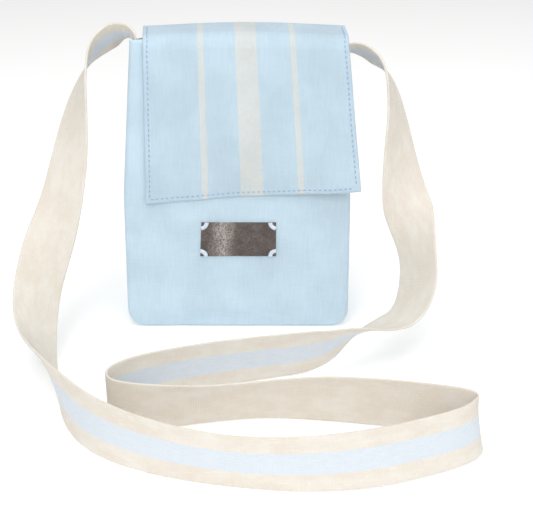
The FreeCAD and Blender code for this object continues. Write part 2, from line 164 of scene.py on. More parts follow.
def shell(name, outer, inner, uv, materials):
    """A closed sheet between two grids of points. Its outer face and rim take the first material."""
    rows, columns = outer.shape[:2]
    count = rows * columns
    vertices = np.concatenate([outer.reshape(-1, 3), inner.reshape(-1, 3)])
    index = np.arange(count).reshape(rows, columns)
    faces, slots = [], []
    inner_slot = 1 if len(materials) > 1 else 0
    for i in range(rows - 1):
        for j in range(columns - 1):
            a, b, c, d = index[i, j], index[i + 1, j], index[i + 1, j + 1], index[i, j + 1]
            faces += [(a, b, c, d), (d + count, c + count, b + count, a + count)]
            slots += [0, inner_slot]
    rim = list(index[0, :]) + list(index[1:, -1]) + list(index[-1, -2::-1]) + list(index[-2:0:-1, 0])
    for here, there in zip(rim, rim[1:] + rim[:1]):
        faces.append((here, there, there + count, here + count))
        slots.append(0)
    uvs = np.concatenate([uv.reshape(-1, 2)] * 2)
    return new_object(name, vertices, faces, uvs, materials, slots)


def padded_shell(name, middle, distance, thickness, uv, materials):
    """A sheet of a thickness about its middle grid, with soft edges where distance runs out."""
    half = (thickness / 2 * rounded_edge(distance, thickness / 2))[..., None]
    normal = grid_normals(middle)
    return shell(name, middle + normal * half, middle - normal * half, uv, materials)


def thread_path(points, radius, sides=6):
    """Vertices and faces of one thread along a few points, with rounded ends."""
    points = np.asarray(points, float)
    ends = [points[0] - (points[1] - points[0]) * 0.25, points[-1] + (points[-1] - points[-2]) * 0.25]
    line = np.concatenate([[ends[0]], points, [ends[1]]])
    radii = [radius * 0.35] + [radius] * len(points) + [radius * 0.35]
    tangent = np.gradient(line, axis=0)
    tangent /= np.linalg.norm(tangent, axis=1, keepdims=True)
    helper = np.array([0.0, 0.0, 1.0]) if abs(tangent[0][2]) < 0.9 else np.array([0.0, 1.0, 0.0])
    vertices, faces = [], []
    for place, way, size in zip(line, tangent, radii):
        side = np.cross(way, helper)
        side /= np.linalg.norm(side)
        up = np.cross(side, way)
        for step in range(sides):
            angle = 2 * math.pi * step / sides
            vertices.append(place + (side * math.cos(angle) + up * math.sin(angle)) * size)
    for ring in range(len(line) - 1):
        for step in range(sides):
            a, b = ring * sides + step, ring * sides + (step + 1) % sides
            faces.append((a, b, b + sides, a + sides))
    faces.append(tuple(range(sides))[::-1])
    faces.append(tuple(range((len(line) - 1) * sides, len(line) * sides)))
    return vertices, faces


def threads(name, paths, radius, material):
    """Many short threads as one object."""
    vertices, faces, uvs = [], [], []
    for path in paths:
        new_vertices, new_faces = thread_path(path, radius)
        offset = len(vertices)
        vertices += new_vertices
        uvs += [(i // 6 * 0.6, i % 6 * 0.3) for i in range(len(new_vertices))]
        faces += [tuple(corner + offset for corner in face) for face in new_faces]
    return new_object(name, vertices, faces, uvs, [material])


def stitch_line(points, pitch, length):
    """Short runs of three points, one stitch each, along a dense line."""
    points = np.asarray(points, float)
    steps = np.linalg.norm(np.diff(points, axis=0), axis=1)
    total = np.concatenate([[0], np.cumsum(steps)])
    paths = []
    for k in range(int(total[-1] / pitch)):
        start = (k + 0.25) * pitch + random.uniform(-0.15, 0.15)
        places = [start, start + length / 2, start + length]
        paths.append([[np.interp(p, total, points[:, axis]) for axis in range(3)] for p in places])
    return paths


# ---------------------------------------------------------------- materials

class Nodes:
    """A material whose nodes are added by short calls."""

    def __init__(self, name):
        self.material = bpy.data.materials.new(name)
        self.material.use_nodes = True
        self.tree = self.material.node_tree
        self.shader = self.tree.nodes["Principled BSDF"]

    def add(self, kind, **settings):
        node = self.tree.nodes.new(kind)
        for key, setting in settings.items():
            setattr(node, key, setting)
        return node

    def feed(self, socket, source):
        if isinstance(source, bpy.types.NodeSocket):
            self.tree.links.new(source, socket)
        else:
            socket.default_value = source

    def math(self, operation, *inputs):
        node = self.add("ShaderNodeMath", operation=operation)
        for socket, source in zip(node.inputs, inputs):
            self.feed(socket, source)
        return node.outputs[0]

    def mix(self, factor, first, second):
        node = self.add("ShaderNodeMix", data_type="RGBA")
        self.feed(node.inputs["Factor"], factor)
        self.feed(node.inputs["A"], first)
        self.feed(node.inputs["B"], second)
        return node.outputs["Result"]

    def uv(self):
        node = self.add("ShaderNodeSeparateXYZ")
        self.feed(node.inputs[0], self.add("ShaderNodeUVMap", uv_map="cloth").outputs[0])
        return node.outputs[0], node.outputs[1]

    def noise(self, x, y, scale_x, scale_y, detail=2.0, seed=0.0):
        """Noise between about 0.3 and 0.7, whose grains are scale_x by scale_y millimetres."""
        place = self.add("ShaderNodeCombineXYZ")
        self.feed(place.inputs[0], self.math("DIVIDE", x, scale_x))
        self.feed(place.inputs[1], self.math("DIVIDE", y, scale_y))
        place.inputs[2].default_value = seed
        node = self.add("ShaderNodeTexNoise")
        node.inputs["Scale"].default_value = 1.0
        node.inputs["Detail"].default_value = detail
        self.feed(node.inputs["Vector"], place.outputs[0])
        return node.outputs[0]

    def spread(self, value, low, high, to_low=0.0, to_high=1.0):
        node = self.add("ShaderNodeMapRange", interpolation_type="SMOOTHSTEP")
        for socket, source in zip(node.inputs, (value, low, high, to_low, to_high)):
            self.feed(socket, source)
        return node.outputs[0]

    def bump(self, height, distance, strength=1.0):
        node = self.add("ShaderNodeBump")
        node.inputs["Distance"].default_value = distance
        node.inputs["Strength"].default_value = strength
        self.feed(node.inputs["Height"], height)
        self.feed(self.shader.inputs["Normal"], node.outputs[0])

    def finish(self, colour, roughness, sheen=0.0, specular=0.3):
        self.feed(self.shader.inputs["Base Color"], colour)
        self.feed(self.shader.inputs["Roughness"], roughness)
        self.shader.inputs["Specular IOR Level"].default_value = specular
        self.shader.inputs["Sheen Weight"].default_value = sheen
        self.shader.inputs["Sheen Roughness"].default_value = 0.5
        return self.material


def srgb(red, green, blue):
    """A colour of 0 to 255 steps as linear light."""
    channels = [c / 255 for c in (red, green, blue)]
    linear = [c / 12.92 if c <= 0.04045 else ((c + 0.055) / 1.055) ** 2.4 for c in channels]
    return (*linear, 1.0)


def plain_weave(n, x, y, pitch_x, pitch_y):
    """(height of the weave, 1 where the upright yarn is on top) for yarns crossing over and under."""
    across = n.math("DIVIDE", x, pitch_x)
    along = n.math("DIVIDE", y, pitch_y)
    upright = n.math("ABSOLUTE", n.math("SINE", n.math("MULTIPLY", across, math.pi)))
    lying = n.math("ABSOLUTE", n.math("SINE", n.math("MULTIPLY", along, math.pi)))
    cell = n.math("ADD", n.math("FLOOR", across), n.math("FLOOR", along))
    over = n.math("ABSOLUTE", n.math("MODULO", cell, 2.0))
    height = n.math("ADD", n.math("MULTIPLY", upright, over),
                    n.math("MULTIPLY", lying, n.math("SUBTRACT", 1.0, over)))
    return height, over


BLUE = srgb(194, 215, 228)
BLUE_DEEP = srgb(184, 207, 223)
BLUE_PALE = srgb(205, 223, 232)
ECRU = srgb(217, 218, 213)


def canvas_material(name, painted_light_level, stripes=()):
    """Blue woven canvas. Each stripe is (middle, half width) in millimetres of U."""
    n = Nodes(name)
    x, y = n.uv()
    slub_up = n.noise(x, y, 0.55, 14.0, 3.0, 1.7)
    slub_across = n.noise(x, y, 16.0, 0.6, 3.0, 5.1)
    cloud = n.noise(x, y, 26.0, 30.0, 3.0, 9.3)
    height, over = plain_weave(n, x, y, 0.62, 0.66)
    yarn = n.mix(n.spread(slub_up, 0.35, 0.68), BLUE_DEEP, BLUE)
    weft = n.mix(n.spread(slub_across, 0.35, 0.66), BLUE, BLUE_PALE)
    if stripes:
        wander = n.math("MULTIPLY", n.math("SUBTRACT", n.noise(x, y, 3.0, 3.0, 2.0, 3.3), 0.5), 0.9)
        worn = n.noise(x, y, 1.6, 2.4, 4.0, 7.7)
        for middle, half in stripes:
            away = n.math("ABSOLUTE", n.math("ADD", n.math("SUBTRACT", x, middle), wander))
            inside = n.spread(away, half - 0.35, half + 0.35, 1.0, 0.0)
            cover = n.math("MULTIPLY", inside, n.spread(worn, 0.30, 0.56, 0.45, 1.0))
            yarn = n.mix(cover, yarn, ECRU)
            weft = n.mix(n.math("MULTIPLY", cover, 0.62), weft, ECRU)
    colour = n.mix(n.math("MULTIPLY", n.math("ADD", over, 0.35), 0.74), weft, yarn)
    # painted_light_level scales the whole colour: a lit or shaded copy of the same canvas, painted light and
    # shade
    shade = n.spread(cloud, 0.3, 0.7, 0.95 * painted_light_level, 1.03 * painted_light_level)
    tone = n.add("ShaderNodeVectorMath", operation="SCALE")
    n.feed(tone.inputs[0], colour)
    n.feed(tone.inputs["Scale"], shade)
    lumps = n.math("ADD", n.math("MULTIPLY", height, 0.5),
                   n.math("ADD", n.math("MULTIPLY", slub_up, 0.7), n.math("MULTIPLY", slub_across, 0.7)))
    n.bump(lumps, 0.00018, 0.75)
    return n.finish(tone.outputs[0], n.spread(cloud, 0.3, 0.7, 0.82, 0.92), sheen=0.15, specular=0.2)


CREAM = srgb(226, 221, 212)
CREAM_DEEP = srgb(221, 213, 201)
STRIPE_BLUE = srgb(216, 223, 230)


def webbing_material(name, stripe_half):
    """Cream cotton webbing ribbed across its length. U runs along it, V across it."""
    n = Nodes(name)
    x, y = n.uv()
    rib = n.math("ABSOLUTE", n.math("SINE", n.math("MULTIPLY", x, math.pi / 1.15)))
    warp = n.math("ABSOLUTE", n.math("SINE", n.math("MULTIPLY", y, math.pi / 0.7)))
    fibre = n.noise(x, y, 7.0, 0.5, 3.0, 2.2)
    patch = n.noise(x, y, 18.0, 9.0, 3.0, 4.4)
    speck = n.noise(x, y, 0.9, 0.9, 2.0, 6.6)
    colour = n.mix(n.spread(patch, 0.35, 0.7), CREAM_DEEP, CREAM)
    colour = n.mix(n.spread(fibre, 0.5, 0.75, 0.0, 0.35), colour, srgb(246, 240, 228))
    if stripe_half:
        wander = n.math("MULTIPLY", n.math("SUBTRACT", n.noise(x, y, 5.0, 5.0, 2.0, 8.8), 0.5), 0.5)
        away = n.math("ABSOLUTE", n.math("ADD", y, wander))
        inside = n.spread(away, stripe_half - 0.3, stripe_half + 0.3, 1.0, 0.0)
        colour = n.mix(inside, colour, n.mix(n.spread(fibre, 0.3, 0.7), srgb(208, 217, 226), STRIPE_BLUE))
    # Darker colour in the grooves between the ribs: painted shade
    colour_with_groove_shade = n.mix(n.spread(rib, 0.0, 0.45, 0.14, 0.0), colour, srgb(204, 188, 166))
    height = n.math("ADD", n.math("ADD", n.math("MULTIPLY", rib, 0.8), n.math("MULTIPLY", warp, 0.35)),
                    n.math("MULTIPLY", speck, 0.8))
    n.bump(height, 0.00022, 0.8)
    return n.finish(colour_with_groove_shade, n.spread(speck, 0.3, 0.7, 0.8, 0.92), sheen=0.2, specular=0.2)


# Middle, in U millimetres, of the painted highlight on the leather label
PAINTED_HIGHLIGHT_X = 87.5


def leather_material():
    n = Nodes("pebbled_leather")
    x, y = n.uv()
    place = n.add("ShaderNodeCombineXYZ")
    n.feed(place.inputs[0], x)
    n.feed(place.inputs[1], y)
    pebble = n.add("ShaderNodeTexVoronoi", feature="SMOOTH_F1")
    pebble.inputs["Scale"].default_value = 0.85
    pebble.inputs["Smoothness"].default_value = 0.35
    n.feed(pebble.inputs["Vector"], place.outputs[0])
    worn = n.noise(x, y, 9.0, 7.0, 4.0, 3.9)
    grain = n.noise(x, y, 0.5, 0.5, 3.0, 1.1)
    colour = n.mix(n.spread(worn, 0.35, 0.65), srgb(80, 70, 66), srgb(104, 93, 88))
    # A paler band on the label's left side: a painted highlight, its edge wobbled by the worn noise
    away = n.math("ADD", n.math("ABSOLUTE", n.math("SUBTRACT", x, PAINTED_HIGHLIGHT_X)), n.math("MULTIPLY", worn, 16.0))
    painted_highlight = n.spread(away, 8.0, 20.0, 1.0, 0.0)
    colour = n.mix(n.math("MULTIPLY", painted_highlight, 0.88), colour, srgb(182, 176, 170))
    # Darker between the pebbles: painted shade in the grain's hollows
    colour = n.mix(n.spread(pebble.outputs[0], 0.3, 0.75, 0.0, 0.6), colour, srgb(58, 46, 42))
    height = n.math("ADD", n.math("MULTIPLY", pebble.outputs[0], -1.0), n.math("MULTIPLY", grain, 0.35))
    n.bump(height, 0.0006, 0.9)
    return n.finish(colour, n.spread(worn, 0.3, 0.7, 0.38, 0.56), specular=0.6)


def thread_material(name, colour, twist_shade):
    n = Nodes(name)
    x, y = n.uv()
    twist = n.math("ABSOLUTE", n.math("SINE", n.math("MULTIPLY", n.math("ADD", x, y), math.pi / 0.5)))
    fuzz = n.noise(x, y, 0.4, 0.4, 2.0, 5.5)
    n.bump(n.math("ADD", twist, fuzz), 0.0001, 0.7)
    # Darker in the grooves of the twist: painted shade
    return n.finish(n.mix(n.spread(twist, 0.0, 0.7), twist_shade, colour), n.spread(fuzz, 0.3, 0.7, 0.45, 0.65),
                    sheen=0.2)


def lining_material():
    n = Nodes("plain_lining")
    x, y = n.uv()
    height, over = plain_weave(n, x, y, 0.35, 0.35)
    slub = n.noise(x, y, 0.5, 9.0, 3.0, 2.0)
    colour = n.mix(n.spread(slub, 0.35, 0.65), srgb(216, 208, 194), srgb(230, 224, 212))
    colour = n.mix(n.math("MULTIPLY", over, 0.25), colour, srgb(206, 198, 184))
    n.bump(height, 0.0001, 0.6)
    return n.finish(colour, n.spread(slub, 0.3, 0.7, 0.84, 0.92), sheen=0.1)


def board_material():
    n = Nodes("fibre_board")
    place = n.add("ShaderNodeTexCoord")
    fleck = n.add("ShaderNodeTexNoise")
    fleck.inputs["Scale"].default_value = 900.0
    fleck.inputs["Detail"].default_value = 4.0
    n.feed(fleck.inputs["Vector"], place.outputs["Object"])
    n.bump(fleck.outputs[0], 0.0002, 0.5)
    colour = n.mix(n.spread(fleck.outputs[0], 0.35, 0.65), srgb(58, 56, 54), srgb(84, 80, 76))
    return n.finish(colour, n.spread(fleck.outputs[0], 0.3, 0.7, 0.6, 0.75))


def magnet_material():
    n = Nodes("nickel_plate")
    place = n.add("ShaderNodeTexCoord")
    brushed = n.add("ShaderNodeTexNoise")
    brushed.inputs["Scale"].default_value = 600.0
    n.feed(brushed.inputs["Vector"], place.outputs["Object"])
    n.shader.inputs["Metallic"].default_value = 1.0
    n.bump(brushed.outputs[0], 0.0001, 0.3)
    colour = n.mix(n.spread(brushed.outputs[0], 0.3, 0.7), srgb(150, 150, 154), srgb(186, 186, 190))
    return n.finish(colour, n.spread(brushed.outputs[0], 0.3, 0.7, 0.28, 0.4))


FLAP_WIDTH = 163.0
FLAP_STRIPES = ((0.280 * FLAP_WIDTH, 2.4), (0.499 * FLAP_WIDTH, 8.6), (0.727 * FLAP_WIDTH, 2.2))
# One canvas in two copies: the body's is lighter (painted light) and the flap's darker (painted shade),
# evening out how each is lit
canvas = canvas_material("blue_canvas", 1.03)
striped_canvas = canvas_material("striped_canvas", 0.93, FLAP_STRIPES)
webbing_striped = webbing_material("webbing_striped", 7.3)
webbing_plain = webbing_material("webbing_plain", 0)
leather = leather_material()
blue_thread = thread_material("periwinkle_thread", srgb(152, 182, 216), srgb(124, 158, 200))
pale_thread = thread_material("pale_thread", srgb(226, 236, 246), srgb(178, 202, 230))
body_thread = thread_material("body_thread", srgb(184, 208, 230), srgb(140, 172, 206))
lining = lining_material()


# ---------------------------------------------------------------- shoulder strap

STRAP_HALF = 19.0
STRAP_THICKNESS = 2.0

# The strap's middle line, then the direction across it from its lower to its upper edge.
STRAP_ROUTE = [
    ((-80.8, 23, 190), (0, 1, 0)),
    ((-79.75, 23, 204), (0, 1, 0)),
    ((-76.5, 26, 220), (0, 1, -0.1)),
    ((-83, 26, 229.5), (-0.1, 0.9, -0.5)),
    ((-96, 23, 230), (-0.1, 0.72, -0.72)),
    ((-110, 16, 220), (-0.12, 0.7, -0.7)),
    ((-119, 9, 201), (-0.3, 0.85, -0.4)),
    ((-125, 0, 175), (-0.6, 0.75, -0.25)),
    ((-130, -14, 141), (-0.85, 0.5, -0.2)),
    ((-137, -30, 107), (-0.9, 0.3, -0.1)),
    ((-148, -50, 75), (-0.9, -0.3, 0.1)),
    ((-154, -72, 47), (-0.75, -0.45, 0.3)),
    ((-149, -98, 27), (-0.6, -0.3, 0.7)),
    ((-136, -128, 19.2), (-0.4, 0, 0.9)),
    ((-119, -165, 19.2), (-0.1, 0.3, 1)),
    ((-95, -197, 19.2), (0, 0.4, 1)),
    ((-55, -222, 19.2), (0, 0.2, 1)),
    ((-5, -238, 19.2), (0, 0, 1)),
    ((45, -242, 19.2), (0, 0.15, 1)),
    ((92, -235, 19.2), (0, 0.4, 1)),
    ((130, -221, 19.2), (0, 0.4, 1)),
    ((152, -211, 19.2), (0, 0.4, 1)),
    ((164, -201, 19.2), (-0.1, 0.4, 1)),
    ((166, -189, 19.2), (-0.15, 0.3, 1)),
    ((152, -181, 19.2), (-0.1, 0.1, 1)),
    ((130, -175, 19.2), (0, 0, 1)),
    ((96, -169, 19.2), (0, 0, 1)),
    ((58, -165, 19.2), (0, -0.1, 1)),
    ((22, -166, 19.2), (0, -0.3, 1)),
    ((-20, -173, 19.2), (0, -0.3, 1)),
    ((-52, -176, 19.2), (0, -0.1, 1)),
    ((-76, -174, 19.2), (0, 0, 1)),
    ((-87, -167, 19.2), (0, 0, 1)),
    ((-88, -155, 19.2), (0, 0, 1)),
    ((-78, -144, 19.2), (0, 0, 1)),
    ((-57, -133, 19.2), (0, 0, 1)),
    ((-20, -120, 19.2), (0, 0, 1)),
    ((28, -108.5, 19.2), (0, -0.05, 1)),
    ((61, -102, 20), (0, -0.15, 1)),
    ((88, -95, 31), (0.05, -0.7, 0.65)),
    ((112, -86, 32), (0.15, -0.95, 0.25)),
    ((131, -75, 35), (0.35, -0.93, 0.15)),
    ((141, -62, 54), (0.6, -0.78, 0.1)),
    ((140.5, -48, 78), (0.6, -0.77, 0.1)),
    ((136, -34, 97), (0.78, -0.52, 0)),
    ((131, -22, 116), (0.92, 0.25, -0.2)),
    ((127.5, -8, 145), (0.7, 0.65, -0.3)),
    ((124.5, 2, 178), (0.42, 0.87, -0.3)),
    ((117, 11, 206), (0.2, 0.88, -0.45)),
    ((104, 18, 216), (0.15, 0.8, -0.57)),
    ((91, 25, 218), (0.05, 0.9, -0.4)),
    ((79.5, 26, 215), (0, 1, -0.15)),
    ((79.75, 23, 204), (0, 1, 0)),
    ((80.8, 23, 190), (0, 1, 0)),
]


def spline_points(control):
    """Points along the smooth NURBS line with these control points."""
    curve = bpy.data.curves.new("route", "CURVE")
    curve.dimensions = "3D"
    curve.resolution_u = 12
    spline = curve.splines.new("NURBS")
    spline.points.add(len(control) - 1)
    for point, place in zip(spline.points, control):
        point.co = (*(c * MM for c in place), 1)
    spline.order_u = 3
    spline.use_endpoint_u = True
    route = bpy.data.objects.new("route", curve)
    bpy.context.collection.objects.link(route)
    mesh = bpy.data.meshes.new_from_object(route)
    points = np.array([vertex.co[:] for vertex in mesh.vertices]) / MM
    bpy.data.meshes.remove(mesh)
    bpy.data.objects.remove(route)
    bpy.data.curves.remove(curve)
    return points


def ribbon(name, middle, across, start=0.0):
    """Flat webbing along a line, with soft selvedges. Its A face has the blue stripe."""
    tangent = np.gradient(middle, axis=0)
    tangent /= np.linalg.norm(tangent, axis=1, keepdims=True)
    side = across - tangent * np.sum(across * tangent, axis=1, keepdims=True)
    side /= np.linalg.norm(side, axis=1, keepdims=True)
    face = np.cross(tangent, side)
    length = start + np.concatenate([[0], np.cumsum(np.linalg.norm(np.diff(middle, axis=0), axis=1))])
    columns = spaced(2 * STRAP_HALF, 15, (0, 0.12, 0.4, 0.85, 1.5)) - STRAP_HALF
    away = STRAP_HALF - np.abs(columns)
    selvedge = 0.12 * np.exp(-(((away - 1.6) / 0.9) ** 2))
    half = STRAP_THICKNESS / 2 * (0.88 * rounded_edge(away, 0.85) + selvedge)
    wave = np.array([0.22 * noise.noise(Vector((s / 23.0, 3.1, 0.7))) for s in length])
    widths = columns[None, :, None] * (1 + wave[:, None, None] * 0.02)
    spots = middle[:, None, :] + side[:, None, :] * widths
    fuzz = ripple(length[:, None] + 0 * columns, columns + 0 * length[:, None], 11.0, 2.5) * 0.18
    lift = face[:, None, :] * (half[None, :, None] + 0 * length[:, None, None])
    flutter = face[:, None, :] * fuzz[..., None]
    uv = np.stack(np.broadcast_arrays(length[:, None], columns[None, :]), axis=2)
    return shell(name, spots + flutter + lift, spots + flutter - lift, uv,
                 [webbing_striped, webbing_plain])


route_middle = np.array([point for point, _ in STRAP_ROUTE], float)
route_across = np.array([np.array(way) / np.linalg.norm(way) for _, way in STRAP_ROUTE])
strap_line = spline_points(route_middle)
strap_edge = spline_points(route_middle + STRAP_HALF * route_across)
strap = ribbon("webbing_strap", strap_line, strap_edge - strap_line)
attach(strap, "root")
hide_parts("shoulder_strap")

wall_slope = (HALF_WIDTH - TOP_HALF_WIDTH) / (FRONT_TOP - TAPER_START)
for side_sign, word in ((-1, "left"), (1, "right")):
    low, high = (np.array(corner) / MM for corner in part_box(f"{word}_strap_end"))
    heights = np.linspace(low[2], high[2], 12)
    centre_x = side_sign * (80.8 + wall_slope * (190 - heights))
    middle_y = (low[1] + high[1]) / 2
    line = np.stack([centre_x, np.full(12, middle_y), heights], axis=1)
    end = ribbon(f"{word}_sewn_end", line, np.tile([0.0, 1.0, 0.0], (12, 1)), 3.0)
    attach(end, "root")
    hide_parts(f"{word}_strap_end")

    box_low, box_high = (np.array(corner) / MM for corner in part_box(f"{word}_box_stitch"))
    y0, y1, z0, z1 = box_low[1], box_high[1], box_low[2], box_high[2]
    turns = [(y0, z0), (y1, z0), (y1, z1), (y0, z1), (y0, z0), (y1, z1), (y1, z0), (y0, z1)]
    box_line = []
    for (ya, za), (yb, zb) in zip(turns, turns[1:]):
        for t in np.linspace(0, 1, 12):
            z = za + (zb - za) * t
            x = side_sign * (HALF_WIDTH - wall_slope * (z - TAPER_START) + 0.25)
            box_line.append((x, ya + (yb - ya) * t, z))
    box = threads(f"{word}_box_threads", stitch_line(box_line, 3.2, 2.3), 0.32, body_thread)
    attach(box, "root")
    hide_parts(f"{word}_box_stitch")


# ---------------------------------------------------------------- body

def half_width(z):
    """Half the body's width at a height, round the lower corners too."""
    z = np.asarray(z, float)
    taper = HALF_WIDTH - np.maximum(z - TAPER_START, 0) * wall_slope
    dip = np.clip(CORNER - z, 0, CORNER)
    bend = HALF_WIDTH - CORNER + np.sqrt(np.maximum(CORNER ** 2 - dip ** 2, 0))
    return np.where(z < CORNER, bend, taper)


def seam_distance(x, z):
    """How far inside the panel's outline a point lies; the open top edge doesn't count."""
    across = half_width(z) - np.abs(x)
    round_corner = CORNER - np.hypot(np.maximum(np.abs(x) - (HALF_WIDTH - CORNER), 0), CORNER - z)
    return np.where(z < CORNER, np.minimum(round_corner, z + 0 * x), np.minimum(across, z))


FRONT_SEED = 1.3


def panel_surface(x, z, seed):
    """How far the cloth stands out from the flat panel: puffed, creased, rolled back at its seams."""
    distance = np.maximum(seam_distance(x, z), 0)
    t = 1 - np.clip(distance / SEAM_ROLL, 0, 1)
    roll = SEAM_ROLL * (1 - np.sqrt(np.clip(1 - t * t, 0, 1)))
    belly = 2.6 * smooth(0, 45, distance) * smooth(0, 40, FRONT_TOP - z)
    foot = FOOT_PULL * (1 - smooth(0, 20, z))
    wrinkle = 0.5 * ripple(x, z, 48.0, seed) + 0.22 * ripple(x, z, 19.0, seed + 4)
    return belly - roll - foot + wrinkle * smooth(0, 12, distance)


def front_dent(x, z):
    """The soft fold that rises from the bottom seam, left of the middle."""
    crest = np.interp(x, [-60, -47, -27, 6, 30], [4, 8, 15.5, 13.5, 12])
    reach = smooth(-62, -38, x) * (1 - smooth(0, 42, x))
    above = np.exp(-(((z - crest - 3.0) / 4.0) ** 2))
    below = np.exp(-(((z - crest + 4.5) / 4.5) ** 2))
    return reach * (0.7 * above - 1.5 * below)


def build_panel(name, plane, outwards, top, seed, dent, corner_droop, nodes):
    """A body panel's canvas: out over its face, round the mouth's edge and a little way down inside."""
    fold = 2.25
    heights = np.concatenate([[0, 0.4, 1.0, 1.9, 3.0, 4.4, 6.0, 8.0, 10.5, 13.0],
                              np.linspace(16, top - 8, 44), [top - 5, top - fold - 0.8]])
    across = spaced(2.0, 47, (0, 0.004, 0.012, 0.022, 0.036, 0.055, 0.085)) - 1
    z, share = np.meshgrid(heights, across, indexing="ij")
    x = share * half_width(z)
    droop = corner_droop * smooth(0.86, 0.99, np.abs(across))
    out = panel_surface(x, z, seed) + (dent(x, z) if dent else 0)
    z = z - droop * smooth(top - 40, top, z)
    face = np.stack([x, plane(z) + outwards * out, z], axis=2)
    angles = np.linspace(0, math.pi, 9)[1:]
    rim_x = across * half_width(top)
    last = face[-1]
    rows = []
    for angle in angles:
        depth = fold * (1 - math.cos(angle))
        height = top - fold + fold * math.sin(angle)
        y = plane(height) - outwards * depth
        settle = smooth(0, math.pi / 2, angle)
        y = y + outwards * (last[:, 1] * outwards - plane(heights[-1]) * outwards) * (1 - settle)
        rows.append(np.stack([rim_x, y, height - droop], axis=1))
    outer = np.concatenate([face, np.array(rows)])
    normal = grid_normals(outer)
    if np.mean(normal[10:30, :, 1]) * outwards < 0:
        normal = -normal
    inner = outer - normal * CANVAS * 0.85
    inner[..., 2] = np.maximum(inner[..., 2], 0)
    length = np.concatenate([[0], np.cumsum(np.linalg.norm(np.diff(outer[:, 30], axis=0), axis=1))])
    uv = np.stack([outer[..., 0] + 300.0, np.broadcast_to(length[:, None], outer.shape[:2])], axis=2)
    obj = shell(name, outer, inner, uv, [canvas])
    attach(obj, "root")
    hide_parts(*nodes)
    return obj


build_panel("front_cloth", front_y, -1, FRONT_TOP, FRONT_SEED, front_dent, 0.8,
            ["front_panel", "front_interlining"])
build_panel("back_cloth", back_y, 1, BACK_TOP, 8.9, None, 11.0, ["back_panel", "back_interlining"])


def strip_path(inset, top):
    """The gusset's line seen from the front: down the left, round and up the right."""
    radius = CORNER - inset
    bend = HALF_WIDTH - CORNER
    places, ways = [], []
    for z in np.linspace(top, CORNER, 40):
        places.append((-(half_width(z) - inset), z))
        ways.append((-1, 0))
    for angle in np.linspace(math.pi, 1.5 * math.pi, 12)[1:-1]:
        places.append((-bend + radius * math.cos(angle), CORNER + radius * math.sin(angle)))
        ways.append((math.cos(angle), math.sin(angle)))
    for x in np.linspace(-bend, bend, 24):
        places.append((x, inset))
        ways.append((0, -1))
    for angle in np.linspace(1.5 * math.pi, 2 * math.pi, 12)[1:-1]:
        places.append((bend + radius * math.cos(angle), CORNER + radius * math.sin(angle)))
        ways.append((math.cos(angle), math.sin(angle)))
    for z in np.linspace(CORNER, top, 40):
        places.append((half_width(z) - inset, z))
        ways.append((1, 0))
    return np.array(places), np.array(ways, float)


def build_strip(name, inset, top, thickness, seam_in, material, nodes):
    """The gusset or its lining, between the front and back seams."""
    places, ways = strip_path(inset, top)
    share = spaced(1.0, 13, (0, 0.012, 0.03, 0.06, 0.1))
    x, t = np.meshgrid(places[:, 0], share, indexing="ij")
    z = np.broadcast_to(places[:, 1][:, None], x.shape)
    seam = seam_in + FOOT_PULL * (1 - smooth(0, 20, z))
    near, far = front_y(z) + seam, back_y(z) - seam
    y = near + (far - near) * t
    edge = np.minimum(t, 1 - t) * (far - near)
    ditch = 0.8 * (1 - smooth(0, 3.0, edge))
    slack = 1.4 * np.sin(math.pi * t) * smooth(25, 70, z) * (1 - smooth(120, 158, z))
    slack = slack + 0.25 * (1 + ripple(y + x, z, 30.0, 5.5)) * smooth(0, 6, edge) * smooth(4, 20, z)
    sink = ditch + slack
    outer = np.stack([x - ways[:, None, 0] * sink, y, z - ways[:, None, 1] * sink * smooth(0, 6, z)], axis=2)
    inner = outer - np.stack([np.broadcast_to(ways[:, None, 0], x.shape), 0 * x,
                              np.broadcast_to(ways[:, None, 1], x.shape)], axis=2) * thickness
    run = np.concatenate([[0], np.cumsum(np.linalg.norm(np.diff(places, axis=0), axis=1))])
    uv = np.stack([y + 600.0, np.broadcast_to(run[:, None], x.shape)], axis=2)
    obj = shell(name, outer, inner, uv, [material])
    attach(obj, "root")
    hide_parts(*nodes)
    return obj


build_strip("gusset_cloth", 0.15, GUSSET_TOP, CANVAS * 0.9, SEAM_ROLL - 1.6, canvas, ["gusset"])
build_strip("gusset_lining_cloth", 1.6, GUSSET_TOP - 1, 0.7, SEAM_ROLL + 1.0, lining,
            ["gusset_lining"])


def flat_cloth(name, plane, outwards, depth, thickness, low, top, half, material, nodes):
    """A lining or facing that lies along the inside of a panel."""
    heights = spaced(top - low, 26) + low
    across = spaced(2.0, 24, (0, 0.004, 0.012, 0.03, 0.06)) - 1
    z, share = np.meshgrid(heights, across, indexing="ij")
    x = share * half(z)
    soft = 0.3 * ripple(x, z, 40.0, 12.0 + depth) * smooth(0, 20, z - low) * smooth(0, 30, top - z)
    distance = np.minimum(seam_distance(x, z), 30)
    tuck = (SEAM_ROLL + 1.0) * (1 - smooth(1, 12, distance)) + 3.4 * (1 - smooth(0, 24, z))
    y = plane(z) - outwards * (depth + thickness / 2 + 0.3 + soft + tuck)
    middle = np.stack([x, y, z], axis=2)
    distance = np.minimum(np.minimum(z - low, top - z), half(z) - np.abs(x))
    uv = np.stack([x + 300.0, z], axis=2)
    obj = padded_shell(name, middle, distance, thickness, uv, [material])
    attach(obj, "root")
    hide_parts(*nodes)
    return obj


LINING_THICKNESS = 0.8


def lining_half_width(z):
    return half_width(z) - 2.4


def facing_half_width(z):
    return 72.0 + 0 * z


